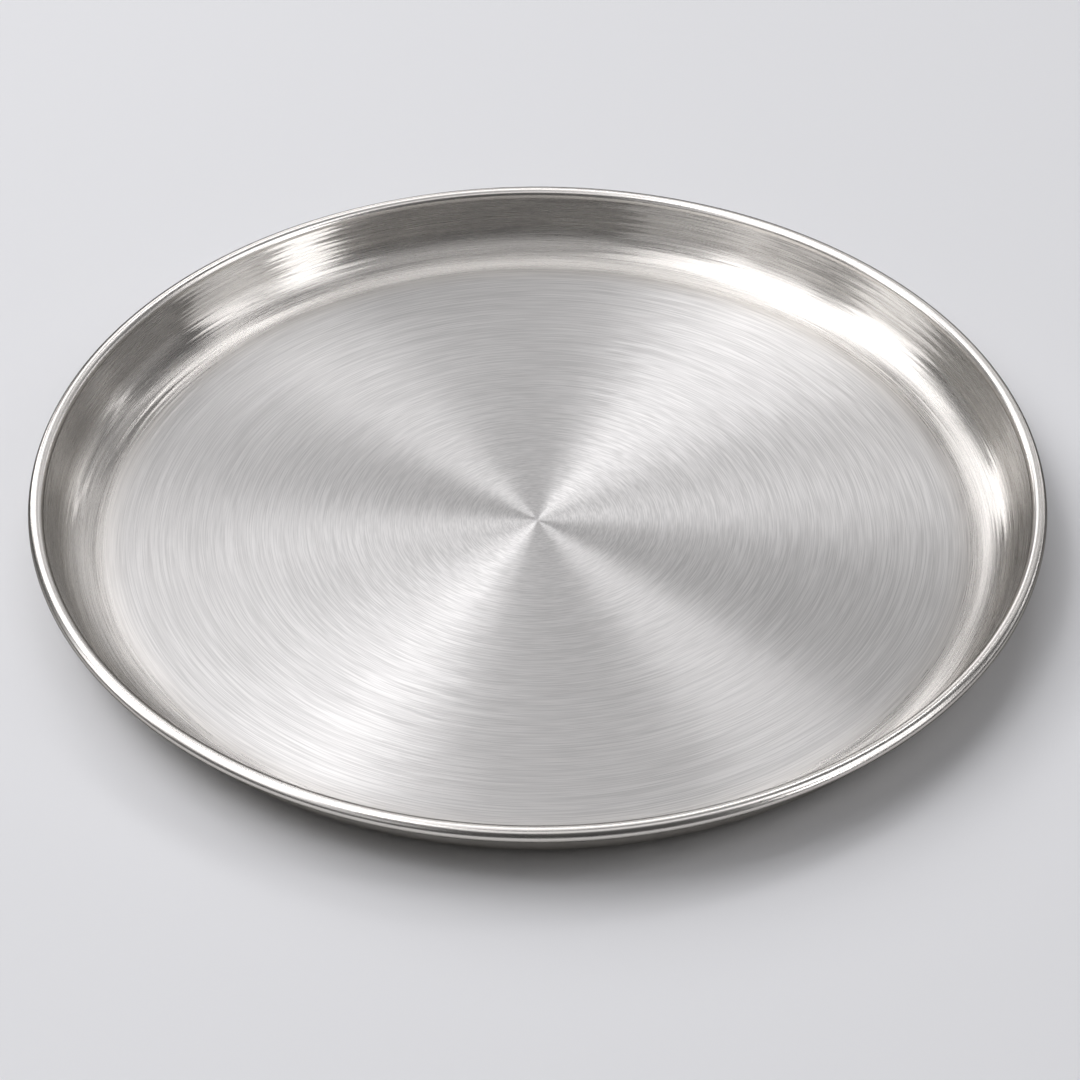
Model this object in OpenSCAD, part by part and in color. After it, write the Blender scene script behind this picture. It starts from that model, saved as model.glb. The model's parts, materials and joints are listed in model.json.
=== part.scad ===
// Round thali plate of stainless sheet, with its rim rolled closed over a wire.
// Millimetres, +Z up. The origin is the centre of the underside, where the plate stands.

/* [Plate] */
// Diameter over the rolled rim
plate_d = 300; // [200:1:380]
// Height from the underside to the top of the rim
plate_h = 21; // [18:0.5:40]
// Thickness of the sheet
sheet_t = 0.7; // [0.5:0.05:1.2]

/* [Wall] */
// Slope of the wall, in degrees up from the floor
wall_slope = 70; // [60:1:80]
// Inside radius of the bend from the floor into the wall
knuckle_r = 14; // [6:0.5:18]

/* [Rim] */
// Diameter of the wire inside the rim
wire_d = 3; // [2:0.1:4]
// Clearance around the wire, inside the curl
wire_clearance = 0.02; // [0.01:0.01:0.1]
// How far the rolled rim stands in from the wall's inside face
neck_depth = 0.3; // [0.1:0.05:0.6]
// Gap along the curl's outside, between its cut edge and the wall
curl_gap = 0.3; // [0.1:0.05:0.6]
// Gap between the butted ends of the wire, along its centre line
wire_end_gap = 0.6; // [0.2:0.1:2]

/* [Hidden] */
$fn = 180;

// A cut reaches this share of a ring's radius out from the ring's centre
cut_reach_share = 2;
// The wall's faces lie this far inside the bend's rounds, so that straight and round cross clearly
wall_bite = 0.0005;

// The curl: a seat around the wire, then the sheet around the seat
seat_r = wire_d / 2 + wire_clearance;
rim_r = seat_r + sheet_t;
rim_centre = [plate_d / 2 - rim_r, plate_h - rim_r];

// Directions up the wall, and square to it towards the inside of the plate
wall_up = polar(wall_slope, 1);
wall_face_angle = wall_slope + 90;
wall_face = polar(wall_face_angle, 1);

// Distances from the rim's centre to the wall's two faces
wall_inside = rim_r - neck_depth;
wall_outside = wall_inside - sheet_t;

// The bend at the foot of the wall. The rim places the wall, and the flat floor ends where
// the wall leaves room for the bend.
bend_r = knuckle_r + sheet_t;
bend_rise = (bend_r - rim_centre.y) * wall_face.y;
floor_r = rim_centre.x + (knuckle_r - wall_bite + wall_inside - bend_rise) / wall_face.x;
bend_centre = [floor_r, bend_r];
wall_l = (rim_centre - bend_centre) * wall_up;

// Angles around the rim's centre: where the wall's inside face meets the rim's round, where
// its outside face leaves the wire, and where its outside face crosses the rim's round
neck_angle = wall_face_angle + acos(wall_inside / rim_r);
seat_angle = wall_face_angle + acos(wall_outside / seat_r);
back_angle = wall_face_angle + acos(wall_outside / rim_r);

// The curl starts within the wall's thickness, goes over the top and ends short of the wall
curl_start_angle = (neck_angle + seat_angle) / 2;
curl_end_angle = back_angle + turn(curl_gap, rim_r);

// Angle that an arc of the given length turns through
function turn(arc, radius) = arc / radius * 180 / PI;

// Point at an angle and a distance from the origin
function polar(angle, radius) = radius * [cos(angle), sin(angle)];

// All that lies inside one face of the bend, and of the wall that runs up from it
module inside_of(face_r, run) {
    circle(face_r);
    rotate(wall_slope - 90)
        translate([-face_r, 0])
            square([2 * face_r - wall_bite, run]);
}

// Bend and wall, from the floor's edge on: inside the outer face but not inside the inner one
module wall_section() {
    reach = cut_reach_share * bend_r;
    difference() {
        inside_of(bend_r, wall_l);
        inside_of(knuckle_r, wall_l + bend_r);
        translate([-reach, -reach])
            square([reach, 2 * reach]);
    }
}

// Curl: a ring around the wire, with a mouth between the wall and the sheet's cut edge
module curl_section() {
    reach = cut_reach_share * rim_r;
    difference() {
        circle(rim_r);
        circle(seat_r);
        polygon([[0, 0], polar(curl_start_angle, reach), polar(curl_end_angle, reach)]);
    }
}

// Section of the sheet from the centre outwards: floor, wall with the wire's seat cut, and curl
module sheet_section() {
    square([floor_r, sheet_t]);
    difference() {
        translate(bend_centre)
            wall_section();
        translate(rim_centre)
            circle(seat_r);
    }
    translate(rim_centre)
        curl_section();
}

// One pressed disc of sheet, its edge curled outwards and down around the wire
module plate_sheet() {
    color("#b4b2af")
        rotate_extrude()
            sheet_section();
}

// A length of wire bent to a ring, its ends butted inside the curl
module rim_wire() {
    color("#8b8d90")
        rotate_extrude(angle = 360 - turn(wire_end_gap, rim_centre.x))
            translate(rim_centre)
                circle(d = wire_d);
}

plate_sheet();
rim_wire();
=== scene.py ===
"""A round thali plate of brushed stainless sheet with a polished, rolled rim, on a plain pale stage."""
import json
import math

import bpy
import numpy as np
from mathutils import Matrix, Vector


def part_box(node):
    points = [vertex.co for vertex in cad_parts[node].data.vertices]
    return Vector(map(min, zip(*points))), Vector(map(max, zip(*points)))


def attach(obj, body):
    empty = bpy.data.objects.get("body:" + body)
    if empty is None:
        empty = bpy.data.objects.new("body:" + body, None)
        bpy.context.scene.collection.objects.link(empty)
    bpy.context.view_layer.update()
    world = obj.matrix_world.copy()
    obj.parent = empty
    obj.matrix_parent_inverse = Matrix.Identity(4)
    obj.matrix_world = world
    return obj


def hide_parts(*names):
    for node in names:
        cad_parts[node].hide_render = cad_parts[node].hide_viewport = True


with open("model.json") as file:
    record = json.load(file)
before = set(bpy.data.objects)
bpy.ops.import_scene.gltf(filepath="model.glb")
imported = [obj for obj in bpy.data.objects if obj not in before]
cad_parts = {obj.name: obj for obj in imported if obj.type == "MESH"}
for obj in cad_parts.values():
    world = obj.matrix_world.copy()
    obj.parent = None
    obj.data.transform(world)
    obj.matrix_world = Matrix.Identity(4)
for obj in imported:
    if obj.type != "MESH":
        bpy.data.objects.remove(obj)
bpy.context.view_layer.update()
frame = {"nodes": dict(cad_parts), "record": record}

bl_info = {
    "name": "Thali plate",
    "version": (1, 0, 0),
    "blender": (4, 5, 0),
    "location": "3D View > Sidebar > Thali",
    "description": "Brushed thali plate with a rolled rim, and a plain stage to show it on",
    "category": "Add Mesh",
}

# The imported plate: its whole box, and the boxes and the serving face that give the section's sizes
SHEET_LOW, SHEET_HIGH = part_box("plate_sheet")
WIRE_LOW, WIRE_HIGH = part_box("rim_wire")
SERVING_FACE = next(m for m in frame["record"]["mounts"] if m["name"] == "serving_floor")

MM = 0.001

# Faces along each stretch of the section
FLOOR_STEPS = 12
BEND_STEPS = 32
WALL_STEPS = 2
FILLET_STEPS = 6
RIM_STEPS = 88
EDGE_STEPS = 4
SEAT_STEPS = 40
OUTER_BEND_STEPS = 20
UNDERSIDE_STEPS = 6

# A straight stretch has a point this far from each end, and points closer than the weld count as one
GUARD = 0.4 * MM
WELD = 0.0001 * MM

# Brush marks are noise, and values past these limits count as its lowest and highest. A mix of two noises
# varies less, so its limits lie closer together
NOISE_LOW, NOISE_HIGH = 0.35, 0.65
MIXED_LOW, MIXED_HIGH = 0.38, 0.62

# Long and wavering marks lie this many times as far apart as short ones, so that they don't line up
LONG_SPACING = 1.2
WAVERING_SPACING = 1.1

# Roughness of the brushed floor and wall, how far single marks depart from it, and the other finishes. The
# board's gloss is its specular level
FLOOR_ROUGHNESS = 0.4
WALL_ROUGHNESS = 0.26
MARK_ROUGHNESS = 0.03
RIM_ROUGHNESS = (0.26, 0.28)
OUTSIDE_ROUGHNESS = (0.14, 0.2)
WIRE_ROUGHNESS = (0.35, 0.5)
BOARD_ROUGHNESS = 0.9
BOARD_GLOSS = 0.2

# How much more light spreads across the marks than along them, and the turn that points it across
BRUSHED_SPREAD = 1.0
OUTSIDE_SPREAD = 0.6
QUARTER_TURN = 0.25

# Lights stand this many metres away. With this many watts per square metre, a light's face shows as white
LIGHT_DISTANCE = 3.0
LIGHT_COLOUR = "#fbfbff"
WHITE_POWER = 4

# Strength of the world's glow, and the width of the camera's sensor in millimetres
SKY_STRENGTH = 0.05
SENSOR_WIDTH = 36

# Each light has the azimuth and elevation of its middle, its width and height as seen from the plate, all in
# degrees, and the brightness of its face, where 1 is white. Softboxes light the board and the steel
SOFTBOXES = {
    "overhead": (125, 76, 40, 26, 0.9),
    "overhead_left": (166, 53, 40, 34, 2.8),
    "overhead_front_left": (212, 64, 18, 16, 3.0),
    "back": (121, 36, 36, 22, 1.8),
    "overhead_back": (93, 57, 20, 16, 1.4),
    "back_right": (68, 55, 10, 10, 4.4),
    "right": (356, 40, 12, 24, 2.2),
    "front": (288, 62, 50, 24, 0.8),
}

# Cards don't light the board. They show only as reflections in the steel
CARDS = {
    "front_right": (334, 40, 12, 30, 2.7),
    "front_right_low": (325, 8, 12, 14, 4.4),
    "right_low": (346, 16, 20, 18, 1.6),
    "right_back_low": (26, 12, 50, 8, 0.9),
    "right_back": (50, 42, 24, 14, 0.55),
    "back_right_low": (60, 18, 34, 28, 0.46),
    "back_middle": (80, 30, 32, 24, 0.46),
    "back_low": (98, 18, 8, 24, 1.8),
    "back_left_low": (132, 12, 14, 14, 3.2),
    "left_low": (179, 18, 20, 26, 2.2),
    "front_left_low": (232, 18, 30, 24, 0.5),
    "front_left": (210, 36, 22, 30, 1.6),
    "left_wall_glint": (51, 17, 5, 6, 2.2),
    "left_bend_glint": (28, 17, 5, 6, 3.6),
}


class ThaliSizes(bpy.types.PropertyGroup):
    """Sizes of the plate's section, which is turned about the Z axis."""

    diameter: bpy.props.FloatProperty(
        name="Diameter", description="Diameter over the rolled rim",
        default=SHEET_HIGH.x - SHEET_LOW.x, subtype="DISTANCE", unit="LENGTH")
    height: bpy.props.FloatProperty(
        name="Height", description="Height from the underside to the top of the rim",
        default=SHEET_HIGH.z - SHEET_LOW.z, subtype="DISTANCE", unit="LENGTH")
    sheet: bpy.props.FloatProperty(
        name="Sheet", description="Thickness of the sheet",
        default=SERVING_FACE["pos_m"][2], subtype="DISTANCE", unit="LENGTH")
    wire: bpy.props.FloatProperty(
        name="Wire", description="Diameter of the wire inside the rim",
        default=WIRE_HIGH.z - WIRE_LOW.z, subtype="DISTANCE", unit="LENGTH")
    wire_clearance: bpy.props.FloatProperty(
        name="Wire clearance", description="Clearance around the wire, inside the curl",
        default=0.02 * MM, subtype="DISTANCE", unit="LENGTH")
    wall_slope: bpy.props.FloatProperty(
        name="Wall slope", description="Slope of the wall, up from the floor",
        default=math.radians(70), subtype="ANGLE", unit="ROTATION")
    bend: bpy.props.FloatProperty(
        name="Bend", description="Inside radius of the bend from the floor into the wall",
        default=14 * MM, subtype="DISTANCE", unit="LENGTH")
    neck: bpy.props.FloatProperty(
        name="Neck", description="How far the rolled rim stands in from the wall's inside face",
        default=0.3 * MM, subtype="DISTANCE", unit="LENGTH")
    neck_fillet: bpy.props.FloatProperty(
        name="Neck fillet", description="Radius of the crease where the wall meets the rim",
        default=0.2 * MM, subtype="DISTANCE", unit="LENGTH")
    curl_gap: bpy.props.FloatProperty(
        name="Curl gap", description="Gap along the curl's outside, between its cut edge and the wall",
        default=0.3 * MM, subtype="DISTANCE", unit="LENGTH")
    edge_round: bpy.props.FloatProperty(
        name="Edge round", description="Radius on the corners of the curl's cut edge",
        default=0.1 * MM, subtype="DISTANCE", unit="LENGTH")
    segments: bpy.props.IntProperty(
        name="Segments", description="Faces around the plate", default=384, min=64, max=512)


class ThaliFinish(bpy.types.PropertyGroup):
    """Colours and brush marks of the steel, as sRGB hex values and real sizes."""

    floor_steel: bpy.props.StringProperty(
        name="Floor steel", description="Colour of the brushed floor", default="#d8d6d3")
    steel: bpy.props.StringProperty(
        name="Steel", description="Colour of the wall and the outside", default="#cfcbc5")
    rim_steel: bpy.props.StringProperty(
        name="Rim steel", description="Colour of the buffed rim", default="#dcd8d2")
    edge_tint: bpy.props.StringProperty(
        name="Edge tint", description="Colour that steel reflects where it is seen edge on",
        default="#c0c0c0")
    rim_edge_tint: bpy.props.StringProperty(
        name="Rim edge tint", description="Colour that the buffed rim reflects where it is seen edge on",
        default="#000000")
    wire: bpy.props.StringProperty(
        name="Wire", description="Colour of the drawn wire", default="#8b8d90")
    groove_shade: bpy.props.FloatProperty(
        name="Groove shade", description="Share of the light that the deepest brush marks give back",
        default=0.75, subtype="FACTOR", min=0, max=1)
    wall_groove_shade: bpy.props.FloatProperty(
        name="Wall groove shade", description="The same share on the wall, which is brushed more lightly",
        default=0.78, subtype="FACTOR", min=0, max=1)
    floor_end: bpy.props.FloatProperty(
        name="Floor end", description="Distance across the marks where the floor's finish starts to change",
        default=122 * MM, subtype="DISTANCE", unit="LENGTH")
    wall_start: bpy.props.FloatProperty(
        name="Wall start", description="Distance across the marks where the wall's finish is reached",
        default=134 * MM, subtype="DISTANCE", unit="LENGTH")
    brush_spacing: bpy.props.FloatProperty(
        name="Brush spacing", description="Distance from one visible brush mark to the next",
        default=0.3 * MM, subtype="DISTANCE", unit="LENGTH")
    ridge_spacing: bpy.props.FloatProperty(
        name="Ridge spacing", description="Distance from one coarse mark on the wall to the next",
        default=0.9 * MM, subtype="DISTANCE", unit="LENGTH")
    short_arc: bpy.props.FloatProperty(
        name="Short arc", description="Turn about the centre that a short brush mark lasts",
        default=math.radians(7), subtype="ANGLE", unit="ROTATION")
    long_arc: bpy.props.FloatProperty(
        name="Long arc", description="Turn about the centre that a long brush mark lasts",
        default=math.radians(20), subtype="ANGLE", unit="ROTATION")
    ridge_arc: bpy.props.FloatProperty(
        name="Ridge arc", description="Turn about the centre that a coarse mark lasts",
        default=math.radians(32), subtype="ANGLE", unit="ROTATION")
    brush_stray: bpy.props.FloatProperty(
        name="Brush stray", description="How far a brush mark's direction strays from its circle",
        default=math.radians(3), subtype="ANGLE", unit="ROTATION")
    brush_tilt: bpy.props.FloatProperty(
        name="Brush tilt", description="How far a coarse mark's face tilts along its circle",
        default=math.radians(1.6), subtype="ANGLE", unit="ROTATION")


class ThaliStage(bpy.types.PropertyGroup):
    """The board that the plate stands on, and the camera, which looks at it from in front and above."""

    board: bpy.props.FloatProperty(
        name="Board", description="Length of the board's sides",
        default=12, subtype="DISTANCE", unit="LENGTH")
    paint: bpy.props.StringProperty(
        name="Paint", description="Colour of the board", default="#e4e4e4")
    # Painted dark reflection: the colour that the board takes only in the steel's reflections, away from the
    # plate, which draws the rim's thin dark lines
    painted_dark_reflection: bpy.props.StringProperty(
        name="Painted dark reflection", description="Colour of the board away from the plate, as the steel mirrors it",
        default="#2a2a2a")
    # Distances from the centre where the board's painted dark reflection begins and where it is full
    painted_reflection_start: bpy.props.FloatProperty(
        name="Painted reflection start", description="Distance from the centre up to which the steel mirrors it pale",
        default=185 * MM, subtype="DISTANCE", unit="LENGTH")
    painted_reflection_full: bpy.props.FloatProperty(
        name="Painted reflection full", description="Distance from the centre past which the steel mirrors it dark",
        default=230 * MM, subtype="DISTANCE", unit="LENGTH")
    elevation: bpy.props.FloatProperty(
        name="Elevation", description="Camera's height above the horizon",
        default=math.radians(40.55), subtype="ANGLE", unit="ROTATION")
    distance: bpy.props.FloatProperty(
        name="Distance", description="Camera's distance from its target",
        default=0.9, subtype="DISTANCE", unit="LENGTH")
    target: bpy.props.FloatVectorProperty(
        name="Target", description="Point at the middle of the picture",
        default=(0.7 * MM, -8.43 * MM, 0), subtype="XYZ", unit="LENGTH")
    lens: bpy.props.FloatProperty(
        name="Lens", description="Focal length in millimetres on a 36 mm sensor",
        default=100.44, subtype="DISTANCE_CAMERA")


def linear(hex_colour):
    """Linear colour with alpha from an sRGB hex value: the standard curve on each of the three channels."""
    srgb = np.array([int(hex_colour[i:i + 2], 16) for i in (1, 3, 5)]) / 255
    rgb = np.where(srgb <= 0.04045, srgb / 12.92, ((srgb + 0.055) / 1.055) ** 2.4)
    return (*map(float, rgb), 1.0)


def add_node(tree, kind, inputs=None, **settings):
    """Adds a node with its own settings. Inputs are values or other nodes' outputs, by socket."""
    node = tree.nodes.new(kind)
    for name, value in settings.items():
        setattr(node, name, value)
    for socket, value in (inputs or {}).items():
        if isinstance(value, bpy.types.NodeSocket):
            tree.links.new(value, node.inputs[socket])
        else:
            node.inputs[socket].default_value = value
    return node


def new_material(name):
    """An empty node material and its tree."""
    material = bpy.data.materials.new(name)
    material.use_nodes = True
    material.node_tree.nodes.clear()
    return material, material.node_tree


def show_surface(tree, shader):
    """Links a shader to the material's output."""
    add_node(tree, "ShaderNodeOutputMaterial", {"Surface": shader.outputs[0]})


def turned_coordinates(tree):
    """Sockets for the turned plate: the distance across its brush marks, and the bearing as a unit vector.

    The distance is the radius plus the height, which grows steadily along the floor and up the wall.
    """
    place = add_node(tree, "ShaderNodeTexCoord").outputs["Object"]
    level = add_node(
        tree, "ShaderNodeVectorMath", {0: place, 1: (1, 1, 0)}, operation="MULTIPLY").outputs[0]
    radius = add_node(tree, "ShaderNodeVectorMath", {0: level}, operation="LENGTH").outputs["Value"]
    bearing = add_node(tree, "ShaderNodeVectorMath", {0: level}, operation="NORMALIZE").outputs[0]
    height = add_node(tree, "ShaderNodeSeparateXYZ", {0: place}).outputs["Z"]
    across = add_node(tree, "ShaderNodeMath", {0: radius, 1: height}, operation="ADD").outputs[0]
    return across, bearing


def brush_marks(tree, across, bearing, spacing, arc):
    """Noise from 0 to 1 that is drawn out around the plate.

    The spacing is its size across the marks, and the arc is the turn that a mark lasts.
    """
    count = add_node(tree, "ShaderNodeMath", {0: across, 1: spacing}, operation="DIVIDE").outputs[0]
    along = add_node(
        tree, "ShaderNodeVectorMath", {0: bearing, "Scale": 1 / arc}, operation="SCALE").outputs[0]
    step = add_node(tree, "ShaderNodeCombineXYZ", {"Z": count}).outputs[0]
    place = add_node(tree, "ShaderNodeVectorMath", {0: along, 1: step}, operation="ADD").outputs[0]
    return add_node(tree, "ShaderNodeTexNoise", {"Vector": place, "Scale": 1.0, "Detail": 1.0}).outputs[0]


def spread(tree, marks, low, high):
    """Maps brush marks from the middle of their range to values from low to high."""
    return add_node(
        tree, "ShaderNodeMapRange",
        {0: marks, 1: NOISE_LOW, 2: NOISE_HIGH, 3: low, 4: high}).outputs[0]


def brushed_colour(tree, finish, short, long, wall):
    """Colour of the brushed steel: darker in the marks, and warmer on the wall.

    The marks' depth is the mean of the short and the long ones.
    """
    marks = add_node(tree, "ShaderNodeMix", {"A": short, "B": long}).outputs["Result"]
    tone = add_node(tree, "ShaderNodeMapRange", {0: marks, 1: MIXED_LOW, 2: MIXED_HIGH}).outputs[0]
    groove = add_node(
        tree, "ShaderNodeMapRange",
        {0: wall, 3: finish.groove_shade, 4: finish.wall_groove_shade}).outputs[0]
    shade = add_node(tree, "ShaderNodeMapRange", {0: tone, 3: groove, 4: 1.0}).outputs[0]
    steel = add_node(
        tree, "ShaderNodeMix",
        {"Factor": wall, "A": linear(finish.floor_steel), "B": linear(finish.steel)},
        data_type="RGBA").outputs["Result"]
    return add_node(
        tree, "ShaderNodeVectorMath", {0: steel, "Scale": shade}, operation="SCALE").outputs[0]


def brushed_roughness(tree, short, wall):
    """Roughness of the brushed steel: that of the floor or the wall, a little uneven from mark to mark."""
    smooth = add_node(
        tree, "ShaderNodeMapRange", {0: wall, 3: FLOOR_ROUGHNESS, 4: WALL_ROUGHNESS}).outputs[0]
    uneven = spread(tree, short, -MARK_ROUGHNESS, MARK_ROUGHNESS)
    return add_node(tree, "ShaderNodeMath", {0: smooth, 1: uneven}, operation="ADD").outputs[0]


def brushed_lie(tree, finish, bearing, wavering, ridges, wall):
    """Tangent and normal of the brushed steel.

    The tangent is the circle's direction plus a little of the bearing, by which a mark strays. The normal is
    the surface's plus a little of the circle's direction, by which the wall's coarse marks tilt.
    """
    circle = add_node(tree, "ShaderNodeTangent", direction_type="RADIAL", axis="Z").outputs[0]
    stray = spread(tree, wavering, -finish.brush_stray, finish.brush_stray)
    aside = add_node(
        tree, "ShaderNodeVectorMath", {0: bearing, "Scale": stray}, operation="SCALE").outputs[0]
    tangent = add_node(tree, "ShaderNodeVectorMath", {0: circle, 1: aside}, operation="ADD").outputs[0]

    ridge_tilt = spread(tree, ridges, -finish.brush_tilt, finish.brush_tilt)
    tilt = add_node(tree, "ShaderNodeMath", {0: ridge_tilt, 1: wall}, operation="MULTIPLY").outputs[0]
    lean = add_node(
        tree, "ShaderNodeVectorMath", {0: circle, "Scale": tilt}, operation="SCALE").outputs[0]
    face = add_node(tree, "ShaderNodeNewGeometry").outputs["Normal"]
    leaning = add_node(tree, "ShaderNodeVectorMath", {0: face, 1: lean}, operation="ADD").outputs[0]
    normal = add_node(tree, "ShaderNodeVectorMath", {0: leaning}, operation="NORMALIZE").outputs[0]
    return tangent, normal


def brushed_steel(finish):
    """Stainless sheet brushed in circles: light spreads across the marks and makes fans from the centre.

    Marks differ in tone and gloss. They also stray a little from their circles, and the wall's coarse ones
    tilt, which breaks the edges of fans and highlights into streaks. The wall is a little warmer and glossier
    than the floor. The marks are drawn coarser than real ones, which are too fine to show.
    """
    material, tree = new_material("stainless_brushed_in_circles")
    across, bearing = turned_coordinates(tree)
    spacing = finish.brush_spacing
    short = brush_marks(tree, across, bearing, spacing, finish.short_arc)
    long = brush_marks(tree, across, bearing, LONG_SPACING * spacing, finish.long_arc)
    wavering = brush_marks(tree, across, bearing, WAVERING_SPACING * spacing, finish.short_arc)
    ridges = brush_marks(tree, across, bearing, finish.ridge_spacing, finish.ridge_arc)
    wall = add_node(
        tree, "ShaderNodeMapRange", {0: across, 1: finish.floor_end, 2: finish.wall_start},
        interpolation_type="SMOOTHSTEP").outputs[0]
    tangent, normal = brushed_lie(tree, finish, bearing, wavering, ridges, wall)
    shader = add_node(tree, "ShaderNodeBsdfPrincipled", {
        "Base Color": brushed_colour(tree, finish, short, long, wall), "Metallic": 1.0,
        "Roughness": brushed_roughness(tree, short, wall), "Specular Tint": linear(finish.edge_tint),
        "Anisotropic": BRUSHED_SPREAD, "Anisotropic Rotation": QUARTER_TURN,
        "Tangent": tangent, "Normal": normal})
    show_surface(tree, shader)
    return material


def buffed_steel(finish):
    """Buffed stainless of the rolled rim: soft, bright reflections with dark edges."""
    # The rim's dark edges come partly from the black edge tint and partly from the board's painted dark
    # reflection
    material, tree = new_material("stainless_buffed_rim")
    across, bearing = turned_coordinates(tree)
    marks = brush_marks(tree, across, bearing, finish.ridge_spacing, finish.ridge_arc)
    shader = add_node(tree, "ShaderNodeBsdfPrincipled", {
        "Base Color": linear(finish.rim_steel), "Metallic": 1.0,
        "Roughness": spread(tree, marks, *RIM_ROUGHNESS), "Specular Tint": linear(finish.rim_edge_tint)})
    show_surface(tree, shader)
    return material


def satin_steel(finish):
    """Stainless as it leaves the press, on the outside and the underside: satin, with faint turned marks."""
    material, tree = new_material("stainless_satin_outside")
    across, bearing = turned_coordinates(tree)
    marks = brush_marks(tree, across, bearing, finish.brush_spacing, finish.short_arc)
    tangent = add_node(tree, "ShaderNodeTangent", direction_type="RADIAL", axis="Z").outputs[0]
    shader = add_node(tree, "ShaderNodeBsdfPrincipled", {
        "Base Color": linear(finish.steel), "Metallic": 1.0,
        "Roughness": spread(tree, marks, *OUTSIDE_ROUGHNESS), "Specular Tint": linear(finish.edge_tint),
        "Anisotropic": OUTSIDE_SPREAD, "Anisotropic Rotation": QUARTER_TURN, "Tangent": tangent})
    show_surface(tree, shader)
    return material


def drawn_wire(finish):
    """Drawn steel wire: dull grey, with fine lines along its length from the die."""
    material, tree = new_material("drawn_steel_wire")
    across, bearing = turned_coordinates(tree)
    marks = brush_marks(tree, across, bearing, finish.brush_spacing, finish.long_arc)
    shader = add_node(tree, "ShaderNodeBsdfPrincipled", {
        "Base Color": linear(finish.wire), "Metallic": 1.0,
        "Roughness": spread(tree, marks, *WIRE_ROUGHNESS)})
    show_surface(tree, shader)
    return material


def board_paint_and_painted_reflection(stage):
    """Matt paint on the stage's board: pale and even.

    Only in the steel's reflections, away from the plate, is the board painted dark: a painted dark
    reflection, which draws the rim's thin dark lines.
    """
    material, tree = new_material("matt_painted_board")
    place = add_node(tree, "ShaderNodeTexCoord").outputs["Object"]
    radius = add_node(tree, "ShaderNodeVectorMath", {0: place}, operation="LENGTH").outputs["Value"]
    away = add_node(
        tree, "ShaderNodeMapRange", {0: radius, 1: stage.painted_reflection_start, 2: stage.painted_reflection_full},
        interpolation_type="SMOOTHSTEP").outputs[0]
    # Mask of the painted dark reflection: glossy rays only, and only on the board away from the plate
    mirrored = add_node(tree, "ShaderNodeLightPath").outputs["Is Glossy Ray"]
    dark = add_node(tree, "ShaderNodeMath", {0: away, 1: mirrored}, operation="MULTIPLY").outputs[0]
    colour = add_node(
        tree, "ShaderNodeMix",
        {"Factor": dark, "A": linear(stage.paint), "B": linear(stage.painted_dark_reflection)},
        data_type="RGBA").outputs["Result"]
    shader = add_node(tree, "ShaderNodeBsdfPrincipled", {
        "Base Color": colour, "Roughness": BOARD_ROUGHNESS, "Specular IOR Level": BOARD_GLOSS})
    show_surface(tree, shader)
    return material


def polar(angle, radius):
    """Points at angles and a distance from the origin, in the section's plane."""
    return radius * np.stack([np.cos(angle), np.sin(angle)], axis=-1)


def arc(centre, radius, start, end, steps):
    """Points on an arc: the centre plus the radius at evenly stepped angles from start to end."""
    return centre + polar(np.linspace(start, end, steps + 1), radius)


def run(start, end, steps):
    """Points on a straight stretch, with one close to each end, so that shading stays flat between them."""
    share = GUARD / np.linalg.norm(end - start)
    shares = np.concatenate([[0], np.linspace(share, 1 - share, steps + 1), [1]])
    return start + shares[:, None] * (end - start)


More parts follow.
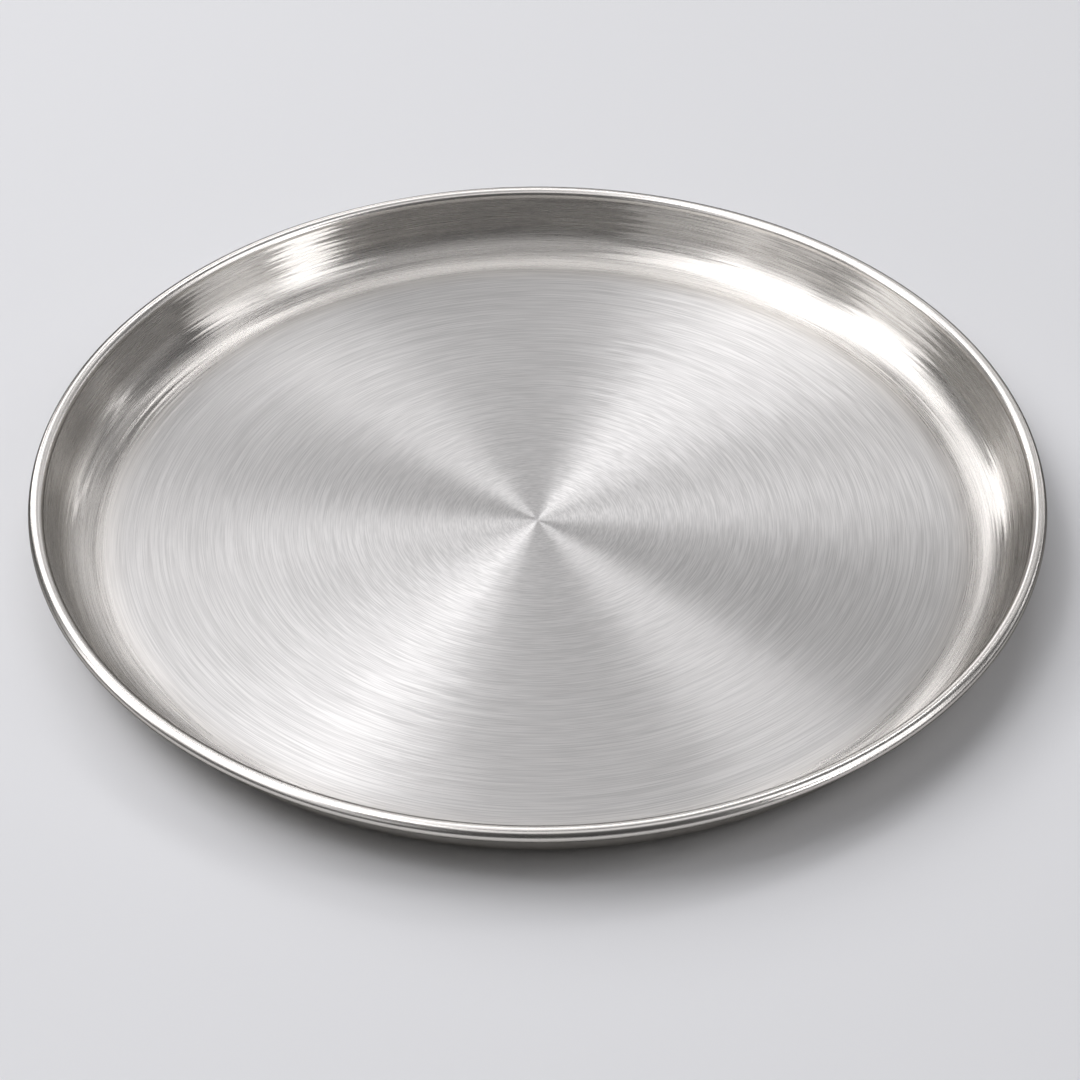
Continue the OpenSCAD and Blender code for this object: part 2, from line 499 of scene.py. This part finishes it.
def sheet_section(sizes):
    """The sheet's outline from the axis, out over the inside, around the rim and back along the outside.

    The floor runs into an arc, the arc into the straight wall, and a small fillet joins the wall to the
    rim's round. The rim is an arc about the wire that ends in a cut edge with rounded corners. The wire's
    seat, the wall's outside, the bend's outside and the underside bring the outline back to the axis.
    It comes as three stretches, inside, rim and outside, each starting where the last one ends.
    """
    seat_r = sizes.wire / 2 + sizes.wire_clearance
    rim_r = seat_r + sizes.sheet
    rim = np.array([sizes.diameter / 2 - rim_r, sizes.height - rim_r])
    slope = sizes.wall_slope
    up, inward = polar(slope, 1), polar(slope + math.pi / 2, 1)
    inside, outside = rim_r - sizes.neck, rim_r - sizes.neck - sizes.sheet

    # The bend sits where it touches both the floor and the wall
    bend_z = sizes.bend + sizes.sheet
    bend_x = rim[0] + (sizes.bend + inside - (bend_z - rim[1]) * inward[1]) / inward[0]
    bend = np.array([bend_x, bend_z])
    foot, top = -math.pi / 2, slope - math.pi / 2

    # The fillet touches the wall's inside face and the rim's round
    fillet_r = sizes.neck_fillet
    drop = math.sqrt((rim_r + fillet_r) ** 2 - (inside + fillet_r) ** 2)
    fillet = rim + (inside + fillet_r) * inward - drop * up
    neck = math.atan2(*(fillet - rim)[::-1]) + 2 * math.pi

    # The curl ends a gap away from where the wall's outside face crosses the rim's round
    back = slope + math.pi / 2 + math.acos(outside / rim_r)
    cut = back + sizes.curl_gap / rim_r - 2 * math.pi
    seat = slope + math.pi / 2 + math.acos(outside / seat_r)
    edge_r = sizes.edge_round
    outer_r, inner_r = rim_r - edge_r, seat_r + edge_r
    outer, inner = cut + math.asin(edge_r / outer_r), cut + math.asin(edge_r / inner_r)

    floor_edge = np.array([bend_x, sizes.sheet])
    wall_foot = bend + polar(top, sizes.bend)
    seat_end = rim + polar(seat, seat_r)
    outside_foot = bend + polar(top, bend_z)
    underside_edge = np.array([bend_x, 0])
    stretches = [
        [run(np.array([0, sizes.sheet]), floor_edge, FLOOR_STEPS),
         arc(bend, sizes.bend, foot, top, BEND_STEPS),
         run(wall_foot, fillet - fillet_r * inward, WALL_STEPS)],
        [arc(fillet, fillet_r, slope - math.pi / 2, neck - math.pi, FILLET_STEPS),
         arc(rim, rim_r, neck, outer, RIM_STEPS),
         arc(rim + polar(outer, outer_r), edge_r, outer, cut - math.pi / 2, EDGE_STEPS)],
        [arc(rim + polar(inner, inner_r), edge_r, cut - math.pi / 2, inner - math.pi, EDGE_STEPS),
         arc(rim, seat_r, inner, seat, SEAT_STEPS),
         run(seat_end, outside_foot, WALL_STEPS),
         arc(bend, bend_z, top, foot, OUTER_BEND_STEPS),
         run(underside_edge, np.zeros(2), UNDERSIDE_STEPS)],
    ]
    return [np.concatenate(parts) for parts in stretches]


def revolve(name, stretches, materials, segments):
    """Object of the surface whose point (u, v) is the section's point u turned by the azimuth v.

    The section's first and last points lie on the axis and close the surface as poles. Each stretch takes
    its own material.
    """
    section = np.concatenate(stretches)
    owner = np.repeat(np.arange(len(stretches)), [len(s) for s in stretches])
    kept = np.append(True, np.linalg.norm(np.diff(section, axis=0), axis=1) > WELD)
    section, owner = section[kept], owner[kept]
    rings = len(section) - 2
    azimuth = np.linspace(0, 2 * math.pi, segments, endpoint=False)
    radius, height = section[1:-1, 0, None], section[1:-1, 1, None]
    x, y, z = np.broadcast_arrays(radius * np.cos(azimuth), radius * np.sin(azimuth), height)
    points = np.stack([x, y, z], axis=-1)
    poles = np.array([[0, 0, section[0, 1]], [0, 0, section[-1, 1]]])

    here = np.arange(segments)
    there = np.roll(here, -1)
    ring = segments * np.arange(rings - 1)[:, None]
    quads = np.stack([ring + here, ring + segments + here, ring + segments + there, ring + there], axis=-1)
    first, last = rings * segments, rings * segments + 1
    last_ring = segments * (rings - 1)
    top = np.stack([np.full(segments, first), here, there], axis=-1)
    bottom = np.stack([last_ring + here, np.full(segments, last), last_ring + there], axis=-1)

    mesh = bpy.data.meshes.new(name)
    faces = quads.reshape(-1, 4).tolist() + top.tolist() + bottom.tolist()
    mesh.from_pydata(np.concatenate([points.reshape(-1, 3), poles]), [], faces)
    face_owner = np.concatenate([np.repeat(owner[2:-1], segments), np.repeat(owner[[1, -1]], segments)])
    for material in materials:
        mesh.materials.append(material)
    mesh.polygons.foreach_set("material_index", face_owner.astype(np.int32))
    mesh.polygons.foreach_set("use_smooth", np.ones(len(faces), dtype=bool))
    if mesh.validate():
        raise RuntimeError(f"{name} has faces that can't be kept")
    made = bpy.data.objects.new(name, mesh)
    bpy.context.scene.collection.objects.link(made)
    return made


class THALI_OT_plate_sheet(bpy.types.Operator):
    """Make the pressed sheet with its floor, wall and rolled rim"""

    bl_idname = "thali.plate_sheet"
    bl_label = "Plate sheet"

    def execute(self, context):
        sizes, finish = context.scene.thali_sizes, context.scene.thali_finish
        materials = [brushed_steel(finish), buffed_steel(finish), satin_steel(finish)]
        plate = revolve("plate_sheet_dressed", sheet_section(sizes), materials, sizes.segments)
        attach(plate, "root")
        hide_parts("plate_sheet")
        return {"FINISHED"}


class THALI_OT_rim_wire(bpy.types.Operator):
    """Give the wire inside the rim its drawn finish"""

    bl_idname = "thali.rim_wire"
    bl_label = "Rim wire"

    def execute(self, context):
        wire = frame["nodes"]["rim_wire"].data
        wire.materials.clear()
        wire.materials.append(drawn_wire(context.scene.thali_finish))
        return {"FINISHED"}


def matt_board(stage):
    """The square board that the plate stands on, as one face about the origin."""
    half = stage.board / 2
    corners = [(-half, -half, 0), (half, -half, 0), (half, half, 0), (-half, half, 0)]
    mesh = bpy.data.meshes.new("floor")
    mesh.from_pydata(corners, [], [range(len(corners))])
    mesh.materials.append(board_paint_and_painted_reflection(stage))
    floor = bpy.data.objects.new("floor", mesh)
    bpy.context.scene.collection.objects.link(floor)


def softbox(name, azimuth, elevation, width, height, brightness):
    """Area light that faces the plate from a direction, as wide and high as its angles say."""
    turn, rise = math.radians(azimuth), math.radians(elevation)
    data = bpy.data.lights.new(name, "AREA")
    data.shape = "RECTANGLE"
    data.color = linear(LIGHT_COLOUR)[:3]
    data.size = 2 * LIGHT_DISTANCE * math.tan(math.radians(width) / 2)
    data.size_y = 2 * LIGHT_DISTANCE * math.tan(math.radians(height) / 2)
    data.energy = WHITE_POWER * brightness * data.size * data.size_y
    light = bpy.data.objects.new(name, data)
    away = Vector((math.cos(turn) * math.cos(rise), math.sin(turn) * math.cos(rise), math.sin(rise)))
    light.location = LIGHT_DISTANCE * away
    light.rotation_euler = away.to_track_quat("Z", "Y").to_euler()
    light.visible_camera = False
    bpy.context.scene.collection.objects.link(light)
    return light


def dim_sky():
    """World with a faint, even glow, as from the walls of a studio."""
    world = bpy.data.worlds.new("studio")
    world.use_nodes = True
    tree = world.node_tree
    tree.nodes.clear()
    sky = add_node(tree, "ShaderNodeBackground", {"Color": linear(LIGHT_COLOUR), "Strength": SKY_STRENGTH})
    add_node(tree, "ShaderNodeOutputWorld", {"Surface": sky.outputs[0]})
    return world


def front_camera(stage):
    """Camera in front of the plate that looks down at its target."""
    data = bpy.data.cameras.new("camera")
    data.lens = stage.lens
    data.sensor_width = SENSOR_WIDTH
    camera = bpy.data.objects.new("camera", data)
    away = Vector((0, -math.cos(stage.elevation), math.sin(stage.elevation)))
    camera.location = Vector(stage.target) + stage.distance * away
    camera.rotation_euler = (math.pi / 2 - stage.elevation, 0, 0)
    bpy.context.scene.collection.objects.link(camera)
    return camera


class THALI_OT_stage(bpy.types.Operator):
    """Make the board, the soft lights and the camera"""

    bl_idname = "thali.stage"
    bl_label = "Stage"

    def execute(self, context):
        scene, stage = context.scene, context.scene.thali_stage
        matt_board(stage)
        for name, values in SOFTBOXES.items():
            softbox(name, *values)
        for name, values in CARDS.items():
            softbox(name, *values).visible_diffuse = False
        scene.world = dim_sky()
        scene.view_settings.view_transform = "Standard"
        scene.camera = front_camera(stage)
        return {"FINISHED"}


class THALI_PT_plate(bpy.types.Panel):
    """Thali plate and its stage"""

    bl_label = "Thali plate"
    bl_space_type = "VIEW_3D"
    bl_region_type = "UI"
    bl_category = "Thali"

    def draw(self, context):
        for operator in OPERATORS:
            self.layout.operator(operator.bl_idname)


OPERATORS = (THALI_OT_plate_sheet, THALI_OT_rim_wire, THALI_OT_stage)
GROUPS = {"thali_sizes": ThaliSizes, "thali_finish": ThaliFinish, "thali_stage": ThaliStage}


def register():
    """Adds the sizes, finishes and stage to the scene's properties, and the operators and the panel."""
    for group in GROUPS.values():
        bpy.utils.register_class(group)
    for name, group in GROUPS.items():
        setattr(bpy.types.Scene, name, bpy.props.PointerProperty(type=group))
    for cls in (*OPERATORS, THALI_PT_plate):
        bpy.utils.register_class(cls)


def unregister():
    """Takes away what register adds."""
    for cls in (THALI_PT_plate, *reversed(OPERATORS)):
        bpy.utils.unregister_class(cls)
    for name, group in GROUPS.items():
        delattr(bpy.types.Scene, name)
        bpy.utils.unregister_class(group)


def main():
    """Registers the add-on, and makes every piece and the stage."""
    register()
    for operator in OPERATORS:
        group, name = operator.bl_idname.split(".")
        getattr(getattr(bpy.ops, group), name)()


if __name__ == "__main__":
    main()
